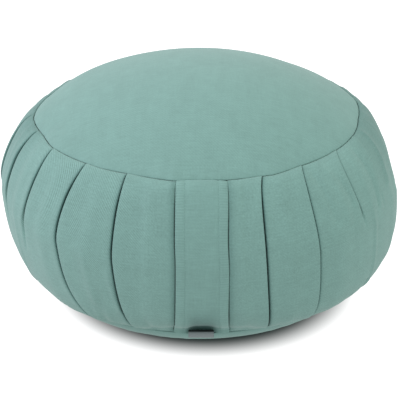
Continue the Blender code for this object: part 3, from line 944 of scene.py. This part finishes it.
def closed_band(name, points, across, down):
    """A band closed round its sections and over both ends, with its cloth map across it and down
    it."""
    rows, columns = points.shape[:2]
    faces = grid_faces(rows, columns, closed=True)
    obj = mesh_object(name, points, faces, loose=end_caps(rows, columns))
    round_across = np.concatenate([across, across[:, :1]], 1)
    both = np.stack([round_across, np.repeat(down[:, None], columns + 1, 1)], -1)
    set_cloth_map(obj, np.stack([both[:-1, :-1], both[1:, :-1], both[1:, 1:], both[:-1, 1:]], 2))
    return obj


LABEL_PULL = 2.5 * MM  # how far the label draws in the strap above it
LABEL_PULL_FROM = 0.59  # the height shares between which it comes to do so
LABEL_PULL_FULL = 0.78
LABEL_PULL_HALF_WIDTH = 11.5 * MM
PAINTED_LABEL_SHADE = 0.74  # the darkest of the strap's painted shade above the label


def label_pull(across, v):
    """Share of the label's pull at each place of the strap: exp(-(x / half width)^4) times a smooth
    step down."""
    x = (across - LABEL_ACROSS) / LABEL_PULL_HALF_WIDTH
    return np.exp(-(x**4)) * smooth_step(LABEL_PULL_FROM, LABEL_PULL_FULL, v)


# Half of the strap's closed section, from its middle over its stitch line and hem to its edge and
# back underneath: millimetres from the edge, and height in half thicknesses.
STITCH_LINE = (-7.5, 0.62)
STRAP_SECTION = [
    *((x, 0.84) for x in (-19.5, -17.5, -15.5, -13.5)),
    *((-11.5, 0.85), (-9.5, 0.86), (-8.0, 0.72), STITCH_LINE, (-7.0, 0.80), (-6.2, 0.95)),
    *((-4.0, 0.92), (-1.5, 0.80), (-0.5, 0.62), (0.0, 0.25)),
    *((0.0, -0.25), (-0.5, -0.7), (-3.0, -1.0), (-14.0, -1.0)),
]
STRAP_ROWS = 120


def handle_strap():
    """The strap follows the drawn-in side, a little proud of it, and enters both seams."""
    v = side_rows(STRAP_ROWS)
    profile, normals, arc = side_profile(v), side_normals(v), side_arc(v)
    heights = STRAP_UNDERSIDE + STRAP_THICKNESS / 2 - strap_draw(v, STRAP_AZIMUTH)
    for (deep, far), distance in ((STRAP_END_TOP, arc), (STRAP_END_BASE, arc[-1] - arc)):
        heights = heights - deep * rim_drop(distance / far)
    heights += STRAP_WAVE[0] * np.sin(arc / STRAP_WAVE[1]) * np.sin(np.pi * v)
    route = profile + normals * heights[:, None]
    route[:, 0] += seam_pull(STRAP_AZIMUTH) * (1 - smooth_step(0, SEAM_PULL_FADES, v))
    centre = at_strap(route) + strap_drift(v)[:, None] * STRAP_SIDEWAYS
    normal = at_strap(normals)
    half = np.array(STRAP_SECTION) * (MM, STRAP_THICKNESS / 2)
    section = np.concatenate([half, half[::-1] * (-1, 1)])
    side = np.repeat([1, -1], len(half))
    wander = EDGE_WANDER[0] * np.sin(arc / EDGE_WANDER[1])[:, None] * (side > 0)
    across = section[None, :, 0] + side * (strap_width(v) / 2)[:, None] + wander
    pulled = label_pull(across, v[:, None])
    height = section[None, :, 1] + STRAP_BOW * strap_bow(across) - LABEL_PULL * pulled
    sideways = across[..., None] * STRAP_SIDEWAYS
    points = centre[:, None] + sideways + height[..., None] * normal[:, None]
    obj = closed_band("carrying_strap", points, across, arc)
    # Painted shade on the strap above the label, where the label draws it in.
    set_painted_shade(obj, PAINTED_LABEL_SHADE * pulled.ravel() ** 0.8)
    return obj, (v, centre, normal)


STITCH_PITCH = 2.3 * MM
STITCH_LENGTH = 1.7 * MM
STITCH_RADIUS = 0.28 * MM
STITCHES_FROM = 4 * MM  # from the top seam, and how far before the base seam they end
STITCHES_END = 3 * MM
STITCH_SIDES = 6
STITCH_RINGS = np.array([(-0.5, 0.15), (-0.38, 0.8), (0, 1.0), (0.38, 0.8), (0.5, 0.15)])


def strap_stitches(v, centre, normal):
    """Two rows of topstitching: each stitch is a thread's length, a tube with round ends, whose
    rings lie at a share of its length and have a share of its radius."""
    arc = side_arc(v)
    places = np.arange(STITCHES_FROM, arc[-1] - STITCHES_END, STITCH_PITCH)
    turn = np.linspace(0, 2 * math.pi, STITCH_SIDES, endpoint=False)
    along, fat = STITCH_RINGS.T
    share = np.interp(places, arc, v)
    inset = strap_width(share) / 2 + STITCH_LINE[0] * MM
    height = STITCH_LINE[1] * STRAP_THICKNESS / 2 + strap_bow(inset) * STRAP_BOW
    out = between_rows(places, arc, normal)
    down = np.cross(out, STRAP_SIDEWAYS)
    points = []
    for side in (-1, 1):
        across = side * inset[:, None] * STRAP_SIDEWAYS
        middle = between_rows(places, arc, centre) + across + height[:, None] * out
        round_across = fat[:, None] * STITCH_RADIUS * np.cos(turn)
        round_up = fat[:, None] * STITCH_RADIUS * np.sin(turn)
        ring = round_across[..., None] * STRAP_SIDEWAYS + round_up[..., None] * out[:, None, None]
        spine = middle[:, None] + (along * STITCH_LENGTH)[None, :, None] * down[:, None]
        points.append(spine[:, :, None] + ring)
    points = np.concatenate(points)
    count, rows, columns = points.shape[:3]
    quads = grid_faces(rows, columns, closed=True).reshape(-1, 4)
    step = rows * columns
    faces = (np.arange(count)[:, None, None] * step + quads[None]).reshape(-1, 4)
    caps = [cap for k in range(count) for cap in end_caps(rows, columns, k * step)]
    return mesh_object("strap_topstitching", points, faces, loose=caps)


LABEL_WIDTH = 21.2 * MM
LABEL_ACROSS = 0.7 * MM  # from the strap's own azimuth
LABEL_THICKNESS = 0.8 * MM
LABEL_LIFT = 4.0 * MM  # its place over the base seam
LABEL_ROWS = 60
LABEL_COLUMNS = 15
LABEL_SMOOTHINGS = 6
# Its route out of the seam, round its fold and back, in millimetres outwards and up from there.
LABEL_ROUTE = [
    (-0.6, -1.5),
    (1.6, -0.6),
    (3.4, 0.2),
    (4.7, 0.2),
    (5.5, -0.6),
    (5.7, -2.0),
    (5.5, -3.6),
    (4.8, -4.9),
    (3.6, -5.5),
    (1.8, -4.9),
    (-0.6, -3.2),
]


def seam_label():
    """The folded label: a thin strip of ribbon round its route, whose corners are smoothed off."""
    seam = (BASE_SEAM_RADIUS, BASE_SEAM_HEIGHT + LABEL_LIFT)
    controls = np.array(LABEL_ROUTE) * MM + seam
    t = np.linspace(0, len(controls) - 1, LABEL_ROWS)
    route = between_rows(t, np.arange(len(controls)), controls)
    for _ in range(LABEL_SMOOTHINGS):
        route[1:-1] = (route[:-2] + 2 * route[1:-1] + route[2:]) / 4
    along = np.gradient(route, axis=0)
    normal = np.stack([-along[:, 1], along[:, 0]], 1)
    normal /= np.linalg.norm(normal, axis=1, keepdims=True)
    half = np.linspace(-0.5, 0.5, LABEL_COLUMNS)
    across = np.concatenate([half, half[::-1]]) * LABEL_WIDTH
    offset = np.repeat([-0.5, 0.5], LABEL_COLUMNS) * LABEL_THICKNESS
    centre = at_strap(route) + LABEL_ACROSS * STRAP_SIDEWAYS
    out = at_strap(normal)
    sideways = across[:, None] * STRAP_SIDEWAYS
    points = centre[:, None] + sideways + offset[:, None] * out[:, None]
    across_rows = np.repeat(across[None], len(route), 0)
    return closed_band("folded_label", points, across_rows, run_length(route))


# --------------------------------------------------------------------------------------------------
# Materials


class Value:
    """A shader socket that adds, subtracts and multiplies by Math nodes."""

    def __init__(self, nodes, socket):
        self.nodes, self.socket = nodes, socket

    def math(self, operation, *others, flip=False):
        values = (self, *others)[::-1] if flip else (self, *others)
        return self.nodes.add("ShaderNodeMath", {"operation": operation}, *values)

    def __add__(self, other):
        return self.math("ADD", other)

    __radd__ = __add__

    def __mul__(self, other):
        return self.math("MULTIPLY", other)

    __rmul__ = __mul__

    def __sub__(self, other):
        return self.math("SUBTRACT", other)

    def __rsub__(self, other):
        return self.math("SUBTRACT", other, flip=True)


SHEEN_ROUGHNESS = 0.5
CLOTH_SPECULAR = 0.25


class Cloth:
    """A material under construction: its node tree and its Principled shader."""

    def __init__(self, name, roughness, sheen):
        self.material = bpy.data.materials.new(name)
        self.material.use_nodes = True
        self.tree = self.material.node_tree
        self.shader = self.tree.nodes["Principled BSDF"]
        self.shader.inputs["Roughness"].default_value = roughness
        self.shader.inputs["Sheen Weight"].default_value = sheen
        self.shader.inputs["Sheen Roughness"].default_value = SHEEN_ROUGHNESS
        self.shader.inputs["Specular IOR Level"].default_value = CLOTH_SPECULAR

    def add(self, kind, settings, *values, output=0, **named):
        """One node: its settings first, then the values or links of its sockets, by place or by
        name. Gives the output of that place or name."""
        node = self.tree.nodes.new(kind)
        for key, value in settings.items():
            setattr(node, key, value)
        sockets = [(node.inputs[i], value) for i, value in enumerate(values)]
        sockets += [(node.inputs[key.replace("_", " ")], value) for key, value in named.items()]
        for socket, value in sockets:
            if isinstance(value, Value):
                self.tree.links.new(value.socket, socket)
            else:
                socket.default_value = value
        return Value(self, node.outputs[output])

    def set(self, name, value):
        """Links a value to one of the shader's own sockets."""
        self.tree.links.new(value.socket, self.shader.inputs[name])

    def smooth_range(self, value, low, high):
        """From 0 at low to 1 at high, by a smooth step."""
        settings = {"interpolation_type": "SMOOTHSTEP"}
        return self.add("ShaderNodeMapRange", settings, value, low, high, 0.0, 1.0)

    def set_relief(self, strength, distance, height):
        """Gives the shader a fine relief, whose height is a share of that distance."""
        bump = self.add("ShaderNodeBump", {}, Strength=strength, Distance=distance, Height=height)
        self.set("Normal", bump)

    def object_place(self):
        """The place in space, in metres."""
        return self.add("ShaderNodeTexCoord", {}, output="Object")

    def cloth_map(self):
        """The place on the cloth map, and its two measures."""
        place = self.add("ShaderNodeUVMap", {"uv_map": "cloth"})
        across, down = (self.add("ShaderNodeSeparateXYZ", {}, place, output=name) for name in "XY")
        return place, across, down

    def colour(self, colour):
        """A plain colour, to be mixed."""
        base = self.add("ShaderNodeRGB", {})
        base.socket.default_value = (*colour, 1)
        return base


GREEN = (0.173, 0.315, 0.284)
RIB_PITCH = 1.75 * MM
RIBS_CLEAR_AT = -110 * MM  # painted light and shade: the ribs show most on the -X side, where the light rakes across them, and fade towards the strap
RIBS_GONE_AT = -20 * MM
RIBS_CLEAR = 1.9
RIBS_GONE = 0.2
YARNS_A_RIB = 0.9  # how often the yarns across the ribs come
RIBS_PATCHY = (-0.14, 0.14, 0.05, 1.1)  # the noise's range, and what it leaves of the ribs
PAINTED_FOLD_SHADE = (0.96, 0.80, 0.80)  # how much painted shade darkens the cloth deep in a fold: to a deep teal
HEM_FROM = 14 * MM  # the hem's painted pucker shade: from this distance off the middle, pitch and shade
HEM_PITCH = 2.2 * MM
HEM_PAINTED_SHADE = 0.05
HEM_EDGE = 0.6 * MM
# The weave's unevenness: how fine each noise is across and down the cloth, in waves to the metre.
# The uneven dye has as well its detail and how far it changes the shade: slubs, streaks, patches,
# blotches.
GRAIN = (640, 640)
WEFT = (70, 760)
WARP = (760, 80)
WARP_TO_WEFT = 0.5
RIBS_FADE = (60, 45)
NOISE_DETAIL = 2.0
NOISE_ROUGHNESS = 0.6
UNEVEN_DYE = [
    ((95, 95), 3.0, 0.10),
    ((115, 14), NOISE_DETAIL, 0.10),
    ((9, 9), NOISE_DETAIL, 0.07),
    ((40, 40), NOISE_DETAIL, 0.12),
]
# How strongly the ribs, the weft and the grain show in each piece's cloth.
SIDE_WEAVE = (0.11, 0.26, 0.44)
PLAIN_WEAVE = (0.0, 0.26, 0.20)  # the crown's and the strap's
FOOT_WEAVE = (0.03, 0.16, 0.16)
THREAD_WEAVE = (0.0, 0.1, 0.2)
# How high the ribs, the yarns, the grain and the weft stand, in shares of the bump's own height.
RELIEF = (0.4, 0.2, 0.8, 0.8)
RELIEF_HEIGHT = 0.12 * MM
RELIEF_STRENGTH = 0.35


def cotton_twill(name, weave, hem=False):
    """Fine cotton: diagonal ribs of twill, slubs along the weft and the warp, and a melange of
    yarns, each with its own share of the shade. The ribs' contrast grows towards the -X side, as
    painted light and shade where the light rakes across them. Beyond a distance from the middle, a
    hem is banded with the painted shade of small puckers. Painted shade darkens the cloth deep in a
    fold or seam."""
    ribs_shade, weft_shade, grain_shade = weave
    cloth = Cloth(name, roughness=0.86, sheen=0.14)
    place, across, down = cloth.cloth_map()
    turn = 2 * math.pi / RIB_PITCH
    ribs = ((across - down) * (turn / math.sqrt(2))).math("SINE")
    yarn = ((across + down) * (turn * YARNS_A_RIB / math.sqrt(2))).math("SINE")

    def vector_math(operation, *values, **named):
        return cloth.add("ShaderNodeVectorMath", {"operation": operation}, *values, **named)

    def map_range(value, *limits):
        return cloth.add("ShaderNodeMapRange", {}, value, *limits)

    def noise(fineness, detail=NOISE_DETAIL):
        stretched = vector_math("MULTIPLY", place, (*fineness, 0))
        looks = {"Scale": 1.0, "Detail": detail, "Roughness": NOISE_ROUGHNESS}
        return cloth.add("ShaderNodeTexNoise", {}, stretched, **looks) - 0.5

    grain = noise(GRAIN)
    weft = noise(WEFT)
    warp = noise(WARP)
    place_x = cloth.add("ShaderNodeSeparateXYZ", {}, cloth.object_place())
    # Painted light and shade: the ribs' contrast grows towards the -X side.
    faded = map_range(noise(RIBS_FADE), *RIBS_PATCHY)
    faded = faded * map_range(place_x, RIBS_CLEAR_AT, RIBS_GONE_AT, RIBS_CLEAR, RIBS_GONE)
    shade = (
        1.0
        + ribs * faded * ribs_shade
        + weft * weft_shade
        + warp * (weft_shade * WARP_TO_WEFT)
        + grain * grain_shade
    )
    for fineness, detail, strength in UNEVEN_DYE:
        shade = shade + noise(fineness, detail) * strength
    if hem:
        beyond = map_range(across.math("ABSOLUTE"), HEM_FROM, HEM_FROM + HEM_EDGE, 0.0, 1.0)
        # Painted shade of the hem's small puckers, in bands along it.
        shade = shade + (down * (2 * math.pi / HEM_PITCH)).math("SINE") * beyond * HEM_PAINTED_SHADE
    # Painted shade: the attribute that the pieces write darkens the colour towards a deep teal.
    fold = cloth.add("ShaderNodeAttribute", {"attribute_name": "painted_fold_shade"}, output="Fac")
    left_by_painted_shade = vector_math("SUBTRACT", (1, 1, 1), vector_math("SCALE", PAINTED_FOLD_SHADE, Scale=fold))
    shaded = vector_math("SCALE", cloth.colour(GREEN), Scale=shade)
    cloth.set("Base Color", vector_math("MULTIPLY", shaded, left_by_painted_shade))
    height = ribs * RELIEF[0] + yarn * RELIEF[1] + grain * RELIEF[2] + weft * RELIEF[3]
    cloth.set_relief(RELIEF_STRENGTH, RELIEF_HEIGHT, height)
    return cloth.material


LABEL_DARK = (0.016, 0.019, 0.022)
# Painted light: the front of the fold is a lighter grey, for the light that the white floor
# reflects onto it.
LABEL_PAINTED_LIGHT_GREY = (0.20, 0.235, 0.24)
LABEL_PAINTED_LIGHT_GREY_FROM = 5.2 * MM  # along the ribbon, past the fold's upper edge
LABEL_PAINTED_LIGHT_GREY_FULL = 6.0 * MM
RIBBON_PITCH = 0.35 * MM
RIBBON_HEIGHT = 0.08 * MM
RIBBON_STRENGTH = 0.3


def label_ribbon(name):
    """Dark woven ribbon, and bare, whose front past the upper edge of its fold is painted a lighter
    grey for the light that the floor reflects onto it.
    """
    cloth = Cloth(name, roughness=0.55, sheen=0.05)
    _, across, along = cloth.cloth_map()
    turn = 2 * math.pi / RIBBON_PITCH
    weave = (across * turn).math("SINE") * (along * turn).math("SINE")
    # Painted light: the front of the fold turns the lighter grey.
    front = cloth.smooth_range(along, LABEL_PAINTED_LIGHT_GREY_FROM, LABEL_PAINTED_LIGHT_GREY_FULL)
    colour = cloth.add("ShaderNodeMix", {"data_type": "RGBA"}, output=2)
    mixed = (front, cloth.colour(LABEL_DARK), cloth.colour(LABEL_PAINTED_LIGHT_GREY))
    for socket, value in zip((0, 6, 7), mixed):  # the factor and both colours of a colour mix
        cloth.tree.links.new(value.socket, colour.socket.node.inputs[socket])
    cloth.set("Base Color", colour)
    cloth.set_relief(RIBBON_STRENGTH, RIBBON_HEIGHT, weave)
    return cloth.material


# --------------------------------------------------------------------------------------------------
# Stage, light and camera


FLOOR_SIZE = 12.0  # from the middle to each side
FLOOR_HEIGHT = -0.02 * MM
FLOOR_SHADE = 0.15  # what the floor reflects of the studio light
# Painted shadow: close under the cushion the floor's glow fades out, which paints the cushion's
# shadow there.
GLOW_FROM = 98.5 * MM  # the floor glows from under the cushion's edge outwards, round two places
GLOW_FULL_AT = 138.7 * MM
GLOW_STRENGTH = 1.17
GLOW_CENTRE = (6 * MM, 0, 0)
GLOW_SCALE = (0.93, 1, 0)
GLOW_APART = (0, 36 * MM, 0)  # the two places, in front of the middle and behind it


def floor():
    """A plain pale floor that glows white all round; close under the cushion the glow fades out,
    which paints the cushion's shadow there."""
    corners = [(-1, -1), (1, -1), (1, 1), (-1, 1)]
    mesh = bpy.data.meshes.new("floor")
    points = [(x * FLOOR_SIZE, y * FLOOR_SIZE, FLOOR_HEIGHT) for x, y in corners]
    mesh.from_pydata(points, [], [(0, 1, 2, 3)])
    obj = linked("floor", mesh)
    top = Cloth("pale_floor", roughness=0.9, sheen=0.0)
    top.shader.inputs["Base Color"].default_value = (FLOOR_SHADE, FLOOR_SHADE, FLOOR_SHADE, 1)
    top.shader.inputs["Specular IOR Level"].default_value = 0.0
    top.shader.inputs["Emission Strength"].default_value = GLOW_STRENGTH
    place = top.object_place()
    for operation, *others in (
        ("SUBTRACT", GLOW_CENTRE),
        ("MULTIPLY", GLOW_SCALE),
        ("ABSOLUTE",),
        ("SUBTRACT", GLOW_APART),
    ):
        place = top.add("ShaderNodeVectorMath", {"operation": operation}, place, *others)
    radius = top.add("ShaderNodeVectorMath", {"operation": "LENGTH"}, place, output="Value")
    # Painted shadow: the glow fades out towards the cushion.
    glow = top.smooth_range(radius, GLOW_FROM, GLOW_FULL_AT)
    top.set("Emission Color", top.add("ShaderNodeCombineColor", {}, glow, glow, glow))
    mesh.materials.append(top.material)
    obj.visible_diffuse = False
    obj.visible_glossy = False


def area_light(name, place, watts, colour):
    """A soft round light that looks at the cushion."""
    data = bpy.data.lights.new(name, "AREA")
    data.shape = "DISK"
    data.size = LIGHT_SIZE
    data.energy = watts
    data.color = colour
    obj = linked(name, data)
    obj.location = place
    obj.rotation_euler = (LIGHT_TARGET - obj.location).to_track_quat("-Z", "Y").to_euler()


# The studio: a white tent, and four soft round lights, as place, watts and colour.
TENT_STRENGTH = 0.83
LIGHT_SIZE = 1.0
LIGHT_TARGET = Vector((0, 0, BULGE_HEIGHT))
LIGHTS = [
    ("front_left", (-1.2, -0.9, 1.5), 15.0, (0.96, 0.93, 1.0)),
    ("back_left", (-1.9, 0.5, 0.9), 14.5, (0.92, 0.87, 1.0)),
    ("right", (1.8, -0.3, 1.0), 8.8, (0.88, 1.0, 0.90)),
    ("behind", (0.0, 1.4, 1.7), 4.0, (1.0, 1.0, 0.9)),
]


def studio():
    """The white world, the four lights, and colours shown as they are."""
    world = bpy.data.worlds.new("white_studio")
    world.use_nodes = True
    background = world.node_tree.nodes["Background"]
    background.inputs["Color"].default_value = (1, 1, 1, 1)
    background.inputs["Strength"].default_value = TENT_STRENGTH
    bpy.context.scene.world = world
    for light in LIGHTS:
        area_light(*light)
    bpy.context.scene.view_settings.view_transform = "Standard"


def camera():
    """The photo's viewpoint: its axes are right, up and back, turned by the roll."""
    data = bpy.data.cameras.new("camera")
    data.sensor_width = SENSOR
    data.lens = CAMERA_LENS
    data.shift_x, data.shift_y = CAMERA_SHIFT
    data.clip_end = CAMERA_FAR
    obj = linked("camera", data)
    back = Vector((0, -math.cos(CAMERA_ELEVATION), math.sin(CAMERA_ELEVATION)))
    up = Vector((0, math.sin(CAMERA_ELEVATION), math.cos(CAMERA_ELEVATION)))
    level = Matrix((Vector((1, 0, 0)), up, back)).transposed()
    turned = (level @ Matrix.Rotation(CAMERA_ROLL, 3, "Z")).to_4x4()
    obj.matrix_world = Matrix.Translation(CAMERA_TARGET + back * CAMERA_DISTANCE) @ turned
    bpy.context.scene.camera = obj


# --------------------------------------------------------------------------------------------------
# The scene


def dress(obj, material, node):
    """Gives a piece its material, and says which body it rides on and which node it replaces."""
    obj.data.materials.append(material)
    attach(obj, "root")
    if node:
        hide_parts(node)


def main():
    """Each piece in its own cloth, with the node that it stands for."""
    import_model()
    camera()
    studio()
    floor()
    side = pleated_side()
    dress(side, cotton_twill("side_twill", SIDE_WEAVE), "pleated_body")
    crown = top_panel()
    dress(crown, cotton_twill("top_twill", PLAIN_WEAVE), "top_panel")
    foot = base_panel()
    dress(foot, cotton_twill("base_twill", FOOT_WEAVE), "base_panel")
    strap, strap_line = handle_strap()
    hemmed = cotton_twill("strap_twill", PLAIN_WEAVE, hem=True)
    dress(strap, hemmed, "handle_strap")
    stitches = strap_stitches(*strap_line)
    dress(stitches, cotton_twill("stitch_thread", THREAD_WEAVE), None)
    label = seam_label()
    dress(label, label_ribbon("label_ribbon"), "seam_label")


main()
